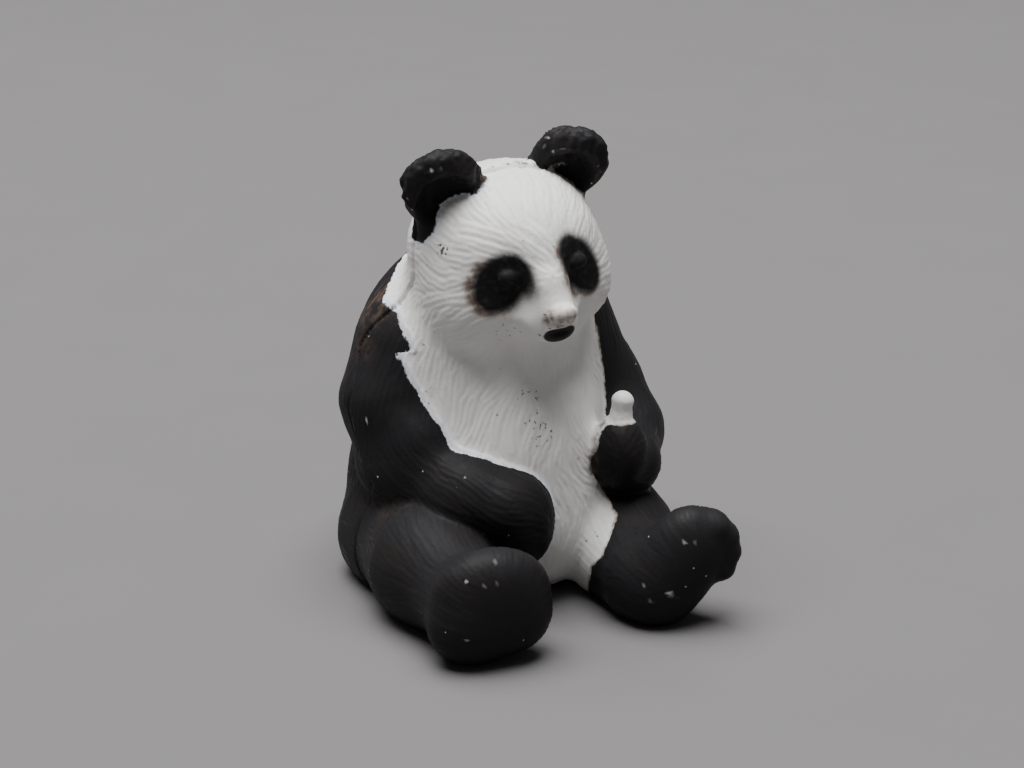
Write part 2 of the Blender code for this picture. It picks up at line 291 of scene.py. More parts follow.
@dataclass
class PandaForms:
    """The figure's masses, in shares of its height, as the solid has them."""

    ear_wall: float = 0.885
    bamboo_radius: float = 1.23
    mouth_gap: float = 1.08
    base_rounding: float = 0.49
    head_centre: Triple = (-0.3, -2.5, 37.0)
    head_turn: Triple = (10.0, -6.0, -1.0)
    toe_angles: tuple[float, ...] = (-38.0, -6.0, 26.0, 58.0)
    toe_ring: float = 3.2

    def __post_init__(self) -> None:
        """Builds each body part once."""
        self.torso = self.make_torso()
        self.head = self.make_head()
        self.right_arm = self.make_right_arm()
        self.left_arm = self.make_left_arm()
        self.right_leg = self.make_right_leg()
        self.left_leg = self.make_left_leg()
        self.figure = self.make_figure()

    def make_torso(self) -> Mass:
        """Rump, back, belly and neck.

        Returns:
            The torso.
        """
        mass = Mass()
        mass.add(Ball((-0.6, 3.2, 17.0), (13.4, 12.8, 17.0)))
        mass.add(Ball((-1.0, 3.4, 8.6), (14.7, 13.3, 11.6)), 4.0)
        mass.add(Ball((-0.9, 5.4, 25.2), (12.0, 12.0, 10.2)), 4.0)
        mass.add(Ball((0.0, -3.5, 13.0), (9.5, 9.2, 11.0)), 4.0)
        mass.add(Ball((-0.6, 1.0, 31.0), (9.2, 9.5, 7.0)), 4.0)
        mass.add(Ball((1.4, -3.4, 7.6), (8.8, 9.8, 8.2)), 3.0)
        return mass

    def make_ear(self, side: Side) -> Mass:
        """A round ear, cupped towards the front, on a short root.

        Args:
            side: The panda's own side.

        Returns:
            The ear, in the head's frame.
        """
        sign = side.value
        if side is Side.RIGHT:
            centre, turn, half_width = (-6.7, 0.8, 8.4), (10.0, -18.0, -8.0), 4.3
        else:
            centre, turn, half_width = (8.0, 1.4, 7.7), (10.0, 42.0, -25.0), 3.7
        mass = Mass(centre, turn)
        mass.add(Ball((0.0, 0.0, 0.0), (half_width, 2.1, 4.5)))
        mass.add(Ball((sign * 1.0, 0.0, -3.7), (2.8, 1.8, 2.8)), 1.0)
        mass.carve(Ball((sign * 0.5, -2.6, -0.6), (half_width - self.ear_wall, 3.0, 3.5)), 0.8)
        return mass

    def make_head(self) -> Mass:
        """Skull, brow, cheeks, sunken eyes, muzzle, mouth and ears.

        Returns:
            The head, in its own turned frame.
        """
        mass = Mass(self.head_centre, self.head_turn)
        mass.add(Ball((0.0, 1.0, 0.2), (10.0, 9.8, 8.5)))
        mass.add(Ball((0.0, -3.5, 1.8), (6.8, 6.0, 5.6)), 3.0)
        for side in Side:
            mass.add(Ball((side.value * 5.0, -2.8, -3.4), (5.0, 5.4, 4.8)), 3.0)
        mass.add(Ball((0.0, -8.2, -2.2), (3.6, 4.6, 3.1), (12.0, 0.0, 0.0)), 2.0)
        for side in Side:
            sign = side.value
            mass.carve(Ball((sign * 4.6, -10.6, 1.1), (2.9, 2.3, 3.1), (0.0, sign * 28.0, sign * 22.0)), 1.2)
            mass.add(Ball((sign * 3.75, -8.6, 1.8), (1.25, 0.95, 0.9)), 0.5)
        mass.add(Limb(((0.0, -7.2, 3.6, 1.6), (0.0, -10.1, 0.9, 1.8), (0.0, -12.4, -1.5, 1.7)), 0.8), 1.6)
        mass.add(Ball((0.0, -13.7, -0.9), (1.45, 0.95, 0.9)), 0.6)
        mass.add(Ball((0.0, -10.4, -3.9), (2.2, 2.6, 1.3), (-8.0, 0.0, 0.0)), 1.4)
        mass.carve(Ball((0.0, -13.5, -3.3), (1.8, 1.1, self.mouth_gap * 0.5), (-10.0, 0.0, 0.0)), 0.8)
        for side in Side:
            mass.add(self.make_ear(side), 1.0)
        return mass

    def make_right_arm(self) -> Mass:
        """The arm that lies across the belly, with its paw hanging over the thigh.

        Returns:
            The right arm.
        """
        mass = Mass()
        self.right_sleeve = Limb(((-9.5, 2.3, 25.7, 5.6), (-11.5, 1.5, 20.2, 5.7), (-11.5, -0.9, 14.2, 5.0),
                                  (-7.6, -9.0, 12.6, 4.4), (-5.0, -12.0, 12.2, 4.0)), 2.0)
        mass.add(self.right_sleeve)
        mass.add(Ball((-3.5, -13.1, 10.3), (3.3, 3.0, 4.6)), 1.5)
        mass.add(Ball((-10.8, -3.9, 17.6), (3.4, 3.4, 3.8)), 2.5)
        return mass

    def make_left_arm(self) -> Mass:
        """The bent arm whose fist holds the bamboo.

        Returns:
            The left arm with the bamboo.
        """
        mass = Mass()
        self.left_sleeve = Limb(((9.0, 2.5, 27.0, 4.9), (12.3, 0.7, 19.0, 4.4), (13.2, -2.8, 14.7, 4.4),
                                 (10.4, -9.6, 13.8, 3.8)), 2.0)
        mass.add(self.left_sleeve)
        mass.add(Ball((8.5, -11.6, 15.9), (3.0, 3.2, 4.1)), 1.0)
        mass.add(self.bamboo(), 0.9)
        return mass

    def bamboo(self) -> Limb:
        """The stub of bamboo: a flared foot in the paw, a waist and a rounded top.

        Returns:
            The stub.
        """
        waist = self.bamboo_radius * 0.84
        foot = self.bamboo_radius * 1.38
        return Limb(((8.6, -11.4, 19.0, foot), (8.75, -11.5, 20.4, waist),
                     (8.9, -11.5, 21.4, self.bamboo_radius)), 0.3)

    def make_right_leg(self) -> Mass:
        """The leg that points straight ahead, ending in a broad blunt foot.

        Returns:
            The right leg.
        """
        mass = Mass()
        self.right_thigh = Limb(((-10.4, 2.0, 5.6, 7.2), (-12.0, -9.0, 5.6, 6.1),
                                 (-12.0, -18.0, 5.4, 5.1)), 3.0)
        mass.add(self.right_thigh)
        mass.add(Ball((-9.6, 2.6, 3.4), (6.8, 7.6, 5.0)), 3.0)
        mass.add(Ball((-12.7, -21.3, 4.5), (4.9, 3.6, 4.7), (6.0, 0.0, -8.0)), 1.2)
        mass.add(Ball((-8.9, -22.0, 5.2), (4.3, 3.2, 4.4)), 1.2)
        mass.add(Ball((-11.0, -21.4, 7.9), (5.9, 3.4, 4.4), (14.0, 0.0, -8.0)), 1.5)
        return mass

    def make_left_leg(self) -> Mass:
        """The leg that leans outwards, with the heel down and the toes up and out.

        Returns:
            The left leg.
        """
        mass = Mass()
        self.left_thigh = Limb(((9.5, 1.0, 8.0, 7.6), (9.3, -10.0, 5.0, 5.8), (8.5, -18.2, 4.2, 5.0)), 3.0)
        mass.add(self.left_thigh)
        mass.add(Ball((9.0, -21.0, 4.4), (4.4, 3.3, 4.6), (0.0, 25.0, -8.0)), 1.2)
        mass.add(Ball((11.8, -21.9, 8.5), (4.4, 3.0, 4.3), (0.0, 35.0, -10.0)), 3.0)
        for angle in self.toe_angles:
            across = self.toe_ring * math.cos(math.radians(angle))
            up = self.toe_ring * math.sin(math.radians(angle))
            mass.add(Ball((12.3 + across, -22.7, 8.0 + up), (1.5, 1.9, 1.5)), 0.8)
        return mass

    def make_figure(self) -> Mass:
        """The whole figure before it is cut level on its underside.

        Returns:
            The figure.
        """
        mass = Mass()
        mass.add(self.torso)
        mass.add(self.right_leg, 1.2)
        mass.add(self.left_leg, 1.2)
        mass.add(self.right_arm, shoulder_softness)
        mass.add(self.left_arm, shoulder_softness)
        mass.add(self.head, 2.0)
        return mass

    def distance(self, points: np.ndarray) -> np.ndarray:
        """Distance to the figure cut level at z = 0 with a softly rounded edge."""
        return -blend_in(-self.figure.distance(points), points[:, 2], self.base_rounding)


@dataclass(frozen=True)
class FrameScale:
    """Turns shares of the figure's height to metres in the frame, and back."""

    height: float = 0.050
    shares_tall: float = 49.59
    middle: tuple[float, float] = (-0.3442, -3.8823)
    base_trim: float = 0.05

    @property
    def share(self) -> float:
        """One share in metres."""
        return self.height / self.shares_tall

    def to_metres(self) -> Matrix:
        """Matrix from shares to metres."""
        shift = Matrix.Translation((-self.middle[0], -self.middle[1], -self.base_trim))
        return Matrix.Scale(self.share, 4) @ shift

    def to_shares(self) -> Matrix:
        """Matrix from metres to shares."""
        return self.to_metres().inverted()


def in_blocks(work: Callable[[np.ndarray], np.ndarray], points: np.ndarray, size: int = 16384) -> np.ndarray:
    """Runs work on points in blocks that fit the processor's cache, four at a time.

    Args:
        work: Takes rows of points and gives one row or value for each.
        points: All the points.
        size: Points in a block.

    Returns:
        The results in the order of the points.
    """
    blocks = [points[start:start + size] for start in range(0, len(points), size)]
    with ThreadPoolExecutor(WORKERS) as pool:
        return np.concatenate(list(pool.map(work, blocks)))


def level_and_slope(distance: Callable[[np.ndarray], np.ndarray], points: np.ndarray,
                    step: float) -> np.ndarray:
    """Distance and its slope at points, from four samples round each.

    Args:
        distance: The signed distance.
        points: Rows of points.
        step: How far the samples stand from a point on each axis.

    Returns:
        Rows of the distance and the three slopes.
    """
    found = np.zeros((len(points), 4), np.float32)
    for corner in CORNERS:
        value = distance(points + corner * step)
        found[:, 0] += value * 0.25
        found[:, 1:] += value[:, None] * corner * (0.25 / step)
    return found


def settle(points: np.ndarray, distance: Callable[[np.ndarray], np.ndarray], rounds: int) -> np.ndarray:
    """Moves points along the slope until they lie on the surface where distance is 0.

    Args:
        points: Rows of points near the surface.
        distance: The signed distance.
        rounds: How often the move is made.

    Returns:
        The moved points.
    """
    def move(block: np.ndarray) -> np.ndarray:
        """Moves one block of points."""
        for _ in range(rounds):
            found = level_and_slope(distance, block, SLOPE_STEP)
            steepness = np.maximum((found[:, 1:] ** 2).sum(axis=1), LEAST_STEEPNESS)
            shift = np.clip(found[:, 0] / steepness, -LONGEST_MOVE, LONGEST_MOVE)
            block = block - shift[:, None] * found[:, 1:]
        return block
    return in_blocks(move, points)


def unit(vectors: np.ndarray) -> np.ndarray:
    """Vectors at length 1."""
    return vectors / np.maximum(np.linalg.norm(vectors, axis=1, keepdims=True), 1e-9)


def cloudy(points: np.ndarray, size: float, seed: int) -> np.ndarray:
    """Smooth random values from -1 to 1, the same on each run.

    Args:
        points: Rows of points.
        size: Distance over which the value changes.
        seed: Number that picks the pattern.

    Returns:
        One value for each point.
    """
    scaled = points / size
    base = np.floor(scaled)
    part = scaled - base
    part = part * part * (3.0 - 2.0 * part)
    base = base.astype(np.int64)
    total = np.zeros(len(points), np.float32)
    for corner in np.ndindex(2, 2, 2):
        cell = base + np.array(corner)
        key = np.bitwise_xor.reduce(cell * CELL_PRIMES, axis=1) ^ (seed * SEED_PRIME)
        key = (key ^ (key >> 13)) * MIXING_PRIME & 0xFFFFFFFF
        value = ((key >> 8) & 0xFFFF) / 32767.5 - 1.0
        weight = np.prod(np.where(np.array(corner), part, 1.0 - part), axis=1)
        total += (value * weight).astype(np.float32)
    return total


def wander(points: np.ndarray, waves: tuple[tuple[float, float, int], ...]) -> np.ndarray:
    """Sum of cloudy values, each with its height, size and seed."""
    return sum(height * cloudy(points, size, seed) for height, size, seed in waves)


def select_only(thing: bpy.types.Object) -> None:
    """Selects one object and makes it active.

    Args:
        thing: The object.
    """
    bpy.ops.object.select_all(action="DESELECT")
    thing.select_set(True)
    bpy.context.view_layer.objects.active = thing


def modify(thing: bpy.types.Object, kind: str, **settings: float | str | bool) -> None:
    """Adds a modifier with its settings and applies it.

    Args:
        thing: The object.
        kind: The modifier's type.
        settings: Its properties by name.
    """
    select_only(thing)
    modifier = thing.modifiers.new(kind.title(), kind)
    for name, value in settings.items():
        setattr(modifier, name, value)
    bpy.ops.object.modifier_apply(modifier=modifier.name)


def get_points(mesh: bpy.types.Mesh) -> np.ndarray:
    """Reads the mesh's vertices.

    Args:
        mesh: The mesh.

    Returns:
        One row for each vertex.
    """
    points = np.empty(len(mesh.vertices) * 3, np.float32)
    mesh.vertices.foreach_get("co", points)
    return points.reshape(-1, 3)


def set_points(mesh: bpy.types.Mesh, points: np.ndarray) -> None:
    """Moves the mesh's vertices to rows of points."""
    mesh.vertices.foreach_set("co", points.astype(np.float32).ravel())
    mesh.update()


def get_normals(mesh: bpy.types.Mesh) -> np.ndarray:
    """Reads the mesh's vertex normals.

    Args:
        mesh: The mesh.

    Returns:
        One row for each vertex.
    """
    normals = np.empty(len(mesh.vertices) * 3, np.float32)
    mesh.vertex_normals.foreach_get("vector", normals)
    return normals.reshape(-1, 3)


def set_values(mesh: bpy.types.Mesh, name: str, values: np.ndarray) -> None:
    """Keeps one value for each vertex as an attribute that materials read."""
    layer = mesh.attributes.new(name, "FLOAT", "POINT")
    layer.data.foreach_set("value", values.astype(np.float32))


@dataclass
class MouldedForms(PandaForms):
    """The solid's forms with what the mould adds at closer range, in shares of the height."""

    seam_heights: tuple[float, ...] = (
        0.0, 10.5, 13.4, 15.8, 20.7, 22.8, 26.9, 28.7, 31.4, 33.0, 35.0, 43.0, 45.8)
    seam_depths: tuple[float, ...] = (-1.5, -1.2, -3.2, -0.7, 0.2, 0.2, 2.2, 1.6, 0.2, 0.0, -1.0, -1.0, -2.2)
    seam_width: float = 0.2
    ledge_heights: tuple[float, ...] = (0.0, 9.0, 12.0, 19.0, 22.0, 30.0, 32.0)
    ledge_steps: tuple[float, ...] = (0.1, 0.0, -0.3, -0.3, 0.1, 0.1, 0.24)
    ledge_rise: Span = (0.0, 0.3)
    ledge_end: Span = (1.0, 6.0)
    groove_heights: tuple[float, ...] = (25.0, 26.5, 31.0, 32.5)
    groove_depths: tuple[float, ...] = (0.16, 0.42, 0.42, 0.12)
    flash_height: float = 0.45
    flash_width: float = 0.35
    flash_groove: float = 0.4
    flash_groove_place: float = -0.8
    flash_groove_width: float = 0.3
    flash_starts: Span = (44.5, 45.3)
    bend_step: float = 0.5

    def seam_offset(self, points: np.ndarray) -> np.ndarray:
        """How far behind the parting line each point lies."""
        seam = np.interp(points[:, 2], self.seam_heights, self.seam_depths)
        return points[:, 1] - seam.astype(points.dtype)

    def distance(self, points: np.ndarray) -> np.ndarray:
        """Distance to the moulded surface, with its halves a little out of step at the parting line.

        Args:
            points: Rows of points.

        Returns:
            One signed distance for each point, negative inside.
        """
        behind = self.seam_offset(points)
        step = np.interp(points[:, 2], self.ledge_heights, self.ledge_steps).astype(points.dtype)
        ledge = step * ramp(behind, *self.ledge_rise) * (1.0 - ramp(behind, *self.ledge_end))
        depth = np.interp(points[:, 2], self.groove_heights, self.groove_depths).astype(points.dtype)
        groove = (depth + np.maximum(-step, 0.0)) * bump(behind, 0.0, self.seam_width)
        lip = bump(behind, 0.0, self.flash_width)
        lip -= self.flash_groove * bump(behind, self.flash_groove_place, self.flash_groove_width)
        flash = self.flash_height * lip * ramp(points[:, 2], *self.flash_starts)
        body = self.figure.distance(points) - ledge + groove - flash
        return -blend_in(-body, points[:, 2], self.base_rounding)

    def sharpness(self, points: np.ndarray) -> np.ndarray:
        """How tightly the form bends outwards.

        Args:
            points: Rows of points.

        Returns:
            One value for each point, 1 over the radius.
        """
        total = -6.0 * self.figure.distance(points)
        for axis in np.eye(3, dtype=np.float32) * self.bend_step:
            total += self.figure.distance(points + axis) + self.figure.distance(points - axis)
        return total / self.bend_step


@dataclass(frozen=True)
class Edge:
    """A paint edge that a brush left at a wandering level, given by height in shares."""

    heights: tuple[float, ...]
    levels: tuple[float, ...]

    def level(self, points: np.ndarray) -> np.ndarray:
        """The edge's level at the height of each point."""
        return np.interp(points[:, 2], self.heights, self.levels).astype(points.dtype)


Spots = tuple[tuple[float, float, float, float, float], ...]


@dataclass
class PaintEdges:
    """Where each paint stops, as signed distances in shares, positive inside the dark paint.

    Spots are wear and dirt, each with its x, y, z, reach and strength; the brown scuffs on the right
    shoulder, upper arm and thigh are partly painted sheen.
    """

    forms: MouldedForms
    right_arm: Edge = Edge((13.6, 16.0, 16.9, 19.1, 21.0, 23.3, 25.0, 26.6, 27.3, 27.5, 29.2, 30.0, 30.8),
                           (-0.15, 0.15, 0.4, 0.39, 0.54, 0.37, 0.75, 1.01, 1.0, 0.28, 0.36, 0.52, 0.27))
    left_arm: Edge = Edge((20.7, 22.3, 24.6, 27.4), (-0.2, -0.15, -0.5, -0.45))
    fist: Edge = Edge((12.0, 14.9, 16.6, 18.3, 19.8), (10.4, 9.5, 10.1, 10.6, 11.4))
    fist_across: Triple = (0.906, -0.423, 0.0)
    fist_front: float = -7.0
    left_leg: Edge = Edge((3.6, 5.0, 6.7, 8.7, 9.6, 10.4, 11.3), (2.7, 2.64, 3.67, 3.06, 2.8, 2.06, 0.93))
    crease_cover: float = 0.25
    near_ear: Edge = Edge((39.1, 40.3, 41.4, 42.8, 43.8, 44.5, 45.2, 46.5),
                          (1.1, 0.72, 0.88, 0.5, 0.6, 0.42, 0.42, 0.8))
    far_ear: Edge = Edge((43.3, 45.6, 47.0), (0.4, 0.42, 0.8))
    collar_height: float = 30.5
    collar_slope: float = 0.5
    collar_cosine: float = 0.9
    bamboo_clear: float = 0.9
    clear: float = 9.0
    near_patch: Ball = Ball((-4.45, 0.0, 1.16), (2.45, 9.0, 3.47), (0.0, 32.0, 0.0))
    far_patch: Ball = Ball((4.2, 0.0, 1.3), (2.1, 9.0, 4.1), (0.0, -32.0, 0.0))
    patch_depth: float = -3.0
    slip: tuple[float, float] = (-0.55, -0.32)
    mouth_oval: Ball = Ball((0.0, -12.6, -3.7), (1.8, 2.2, 0.95), (-10.0, 0.0, 0.0))
    nose_oval: Ball = Ball((-0.3, -13.8, -1.35), (1.9, 1.8, 1.2))
    spot_core: float = 0.3
    kept_span: Span = (-6.0, 6.0)
    sharp_span: Span = (-4.0, 6.0)
    # Brown scuffs on the black; on the right shoulder, upper arm and thigh they are partly painted sheen
    # where the light falls.
    rubs_and_sheen: Spots = ((-12.4, 3.5, 31.0, 4.5, 1.0), (-13.5, 2.0, 26.0, 3.5, 0.7), (-13.0, -6.0, 9.5, 5.0, 0.5),
                   (-9.0, 12.0, 24.0, 7.0, 0.6), (6.0, 13.0, 20.0, 7.0, 0.5), (0.0, 14.0, 28.0, 6.0, 0.6))
    stains: Spots = ((1.2, -2.2, 45.9, 0.9, 0.9), (-3.6, -4.0, 45.6, 1.0, 0.55), (-4.2, -4.8, 44.9, 0.5, 0.9),
                     (5.0, -12.2, 15.6, 1.0, 0.6), (5.2, -14.6, 10.9, 0.7, 0.5),
                     (0.3, -16.9, 34.1, 0.8, 0.75), (-1.9, -15.0, 32.9, 0.9, 0.5),
                     (6.7, -10.9, 19.1, 0.95, 0.85), (5.8, -11.4, 17.6, 0.95, 0.85),
                     (5.4, -11.4, 16.0, 0.95, 0.85), (5.3, -11.5, 14.3, 0.95, 0.85),
                     (6.3, -11.4, 12.5, 0.95, 0.85))
    chips: Spots = (
        (-14.5, -23.4, 10.2, 0.19, 0.9), (-13.0, -24.4, 9.6, 0.17, 0.9), (-11.8, -24.6, 9.8, 0.17, 0.9),
        (-11.4, -23.5, 11.6, 0.17, 0.9), (-11.1, -24.2, 10.9, 0.17, 0.9),
        (-12.4, -25.0, 6.4, 0.17, 0.9), (-14.8, -24.4, 4.2, 0.17, 0.9), (-13.3, -23.4, 11.1, 0.17, 0.9),
        (6.8, -23.5, 6.8, 0.17, 0.9), (8.3, -24.4, 4.6, 0.25, 0.9), (7.9, -24.3, 4.9, 0.17, 0.9),
        (6.4, -23.5, 3.7, 0.17, 0.9), (5.8, -23.0, 5.5, 0.17, 0.9), (9.6, -24.2, 10.1, 0.17, 0.9),
        (10.8, -24.6, 10.0, 0.17, 0.9), (8.8, -24.4, 4.3, 0.17, 0.9), (6.2, -23.4, 3.9, 0.17, 0.9),
        (-16.4, -2.2, 20.2, 0.20, 0.9), (-16.3, -2.4, 20.0, 0.17, 0.9), (-8.6, -7.8, 19.1, 0.17, 0.9),
        (-9.4, -11.9, 16.1, 0.17, 0.9), (-10.7, -4.7, 47.0, 0.19, 0.9), (-10.0, -5.1, 47.2, 0.22, 0.9),
        (-9.1, -5.3, 47.3, 0.17, 0.9), (4.0, -2.6, 47.6, 0.17, 0.9), (4.4, -2.6, 48.5, 0.17, 0.9),
        (3.6, -2.4, 46.8, 0.17, 0.9), (-11.8, 1.3, 31.8, 0.17, 0.9), (5.4, -3.2, 49.2, 0.17, 0.9))
    grime: Spots = (
        (-9.1, -5.9, 38.9, 1.3, 1.0), (-0.6, -11.3, 19.7, 2.4, 0.3),
        (-1.0, -9.6, 23.1, 1.8, 0.22), (4.7, -14.9, 8.1, 0.5, 1.0),
        (-3.8, -10.2, 30.8, 2.6, 0.12), (-1.4, -15.6, 32.9, 1.6, 0.35), (-1.7, -14.2, 31.2, 0.7, 1.0))

    def coat(self, points: np.ndarray) -> np.ndarray:
        """Brushed black on ears, arms, shoulders, back and legs.

        Args:
            points: Rows of points.

        Returns:
            One signed distance for each point, positive in the black.
        """
        forms = self.forms
        masses = (forms.torso, forms.right_arm, forms.left_arm)
        torso, right_arm, left_arm = (mass.distance(points) for mass in masses)
        fist = points @ np.array(self.fist_across, points.dtype) - self.fist.level(points)
        left = torso - left_arm - self.left_arm.level(points)
        left = np.minimum(left, np.where(points[:, 1] < self.fist_front, fist, self.clear))
        edge = np.maximum(left, torso - right_arm - self.right_arm.level(points))
        edge = np.maximum(edge, torso - forms.right_leg.distance(points) + self.crease_cover)
        edge = np.maximum(edge, torso - forms.left_leg.distance(points) - self.left_leg.level(points))
        collar = (self.collar_height + self.collar_slope * points[:, 1] - points[:, 2]) * self.collar_cosine
        edge = np.maximum(edge, np.minimum(collar, forms.seam_offset(points)))
        local = forms.head.local(points)
        on_head = forms.head.distance(points) < np.minimum(torso, np.minimum(right_arm, left_arm))
        near_ear = self.near_ear.level(points) - forms.make_ear(Side.RIGHT).distance(local)
        far_ear = self.far_ear.level(points) - forms.make_ear(Side.LEFT).distance(local)
        edge = np.where(on_head, np.maximum(near_ear, far_ear), edge)
        return np.minimum(edge, forms.bamboo().distance(points) - self.bamboo_clear)

    def patches(self, points: np.ndarray, shift: tuple[float, float]) -> np.ndarray:
        """Oval patches round the eyes.

        Args:
            points: Rows of points.
            shift: How far the spray mask slipped along the head's own X and Z.

        Returns:
            One signed distance for each point, positive inside a patch.
        """
        local = self.forms.head.local(points)
        flat = local * np.array((1.0, 0.0, 1.0), np.float32)
        edge = np.full(len(points), -self.clear, np.float32)
        for oval in (self.near_patch, self.far_patch):
            x, y, z = oval.centre
            gap = replace(oval, centre=(x + shift[0], y, z + shift[1])).distance(flat)
            edge = np.maximum(edge, -gap)
        return np.where(local[:, 1] < self.patch_depth, edge, -self.clear)

    def spray(self, points: np.ndarray) -> np.ndarray:
        """Sprayed black round each eye."""
        return self.patches(points, (0.0, 0.0))

    def undercoat(self, points: np.ndarray) -> np.ndarray:
        """The brown first coat, a little out of place under the black."""
        return self.patches(points, self.slip)

    def mouth(self, points: np.ndarray) -> np.ndarray:
        """Black in the mouth."""
        return -self.mouth_oval.distance(self.forms.head.local(points))

    def nose(self, points: np.ndarray) -> np.ndarray:
        """Grey-brown on the nose pad."""
        return -self.nose_oval.distance(self.forms.head.local(points))

    def near_spots(self, points: np.ndarray, spots: Spots) -> np.ndarray:
        """How near each point is to the spots.

        Args:
            points: Rows of points.
            spots: The spots.

        Returns:
            One value for each point, from 0 to the spot's strength.
        """
        total = np.zeros(len(points), np.float32)
        for x, y, z, reach, strength in spots:
            gap = np.linalg.norm(points - np.array((x, y, z), np.float32), axis=1)
            total = np.maximum(total, strength * ramp(gap, reach, reach * self.spot_core))
        return total

    def mark(self, mesh: bpy.types.Mesh) -> None:
        """Keeps every paint edge on the mesh as an attribute.

        Args:
            mesh: The carved mesh, in shares.
        """
        points = get_points(mesh)
        for name in ("coat", "spray", "undercoat", "mouth", "nose"):
            set_values(mesh, name, np.clip(in_blocks(getattr(self, name), points), *self.kept_span))
        for name in ("grime", "rubs_and_sheen", "stains", "chips"):
            set_values(mesh, name, self.near_spots(points, getattr(self, name)))
        set_values(mesh, "sharp", np.clip(in_blocks(self.forms.sharpness, points), *self.sharp_span))


@dataclass(frozen=True)
class Comb:
    """A carver's comb: even ridges along the fur that part and join, with creases between them.

    Each stroke is a short wave that fades out along and across the fur. Their sum gives the ridges.
    """

    ridge_spacing: float
    ridge_length: float
    seed: int
    cell_share: float = 1.15
    reach_share: float = 0.95
    fade_share: float = 0.36
    waves_wide: float = 4.6
    mean_height: float = 0.65
    gain: float = 2.0
    block: int = 32768

    def pick(self, points: np.ndarray) -> np.ndarray:
        """Chooses where the strokes are centred, one in each cell of a grid.

        Args:
            points: Vertices of the surface.

        Returns:
            Row numbers of the chosen vertices.
        """
        cells = np.floor(points / (self.ridge_spacing * self.cell_share)).astype(np.int64)
        order = np.random.default_rng(self.seed).permutation(len(points))
        keys = (cells[order] * CELL_WEIGHTS).sum(axis=1)
        _, first = np.unique(keys, return_index=True)
        return order[first]

    def ridges(self, points: np.ndarray, normals: np.ndarray,
               headings: Callable[[np.ndarray, np.ndarray], np.ndarray]) -> np.ndarray:
        """Height of the ridges at points.

        Args:
            points: Vertices of the surface.
            normals: Their normals.
            headings: Gives the direction of the fur at points with normals.

        Returns:
            One value for each point, 0 in a crease and 1 on a crest.
        """
        chosen = self.pick(points)
        place, upright = points[chosen], normals[chosen]
        along = headings(place, upright)
        across = np.cross(upright, along) * (2.0 * math.pi / self.ridge_spacing)
        draw = np.random.default_rng(self.seed + 1)
        phase = draw.uniform(0.0, 2.0 * math.pi, len(chosen)).astype(np.float32)
        reach = self.ridge_length * self.reach_share
        corner = points.min(axis=0) - 2.0 * reach
        keys = (np.floor((place - corner) / reach).astype(np.int64) * CELL_WEIGHTS).sum(axis=1)
        order = np.argsort(keys, kind="stable")
        keys, place, upright = keys[order], place[order], upright[order]
        along, across, phase = along[order], across[order], phase[order]

        def comb(block: np.ndarray) -> np.ndarray:
            """Height of the ridges in a block of points with their normals."""
            where, facing = block[:, :3], block[:, 3:]
            cells = np.floor((where - corner) / reach).astype(np.int64)
            real, imaginary = np.zeros(len(block), np.float32), np.zeros(len(block), np.float32)
            for offset in np.ndindex(3, 3, 3):
                wanted = ((cells + (np.array(offset) - 1)) * CELL_WEIGHTS).sum(axis=1)
                first = np.searchsorted(keys, wanted, "left")
                count = np.searchsorted(keys, wanted, "right") - first
                for turn in range(int(count.max(initial=0))):
                    near = np.flatnonzero(count > turn)
                    stroke = first[near] + turn
                    gap = where[near] - place[stroke]
                    down = (gap * along[stroke]).sum(axis=1) / (self.ridge_length * self.fade_share)
                    side = (gap * across[stroke]).sum(axis=1)
                    agree = np.maximum((facing[near] * upright[stroke]).sum(axis=1), 0.0)
                    share = agree * np.exp(-0.5 * down * down - 0.5 * (side / self.waves_wide) ** 2)
                    real[near] += share * np.cos(side + phase[stroke])
                    imaginary[near] += share * np.sin(side + phase[stroke])
            strength = np.sqrt(real * real + imaginary * imaginary)
            crest = np.sqrt(np.maximum(0.5 + 0.5 * real / np.maximum(strength, 1e-6), 0.0))
            return self.mean_height + (crest - self.mean_height) * np.minimum(strength * self.gain, 1.0)

        return in_blocks(comb, np.concatenate((points, normals), axis=1), self.block)


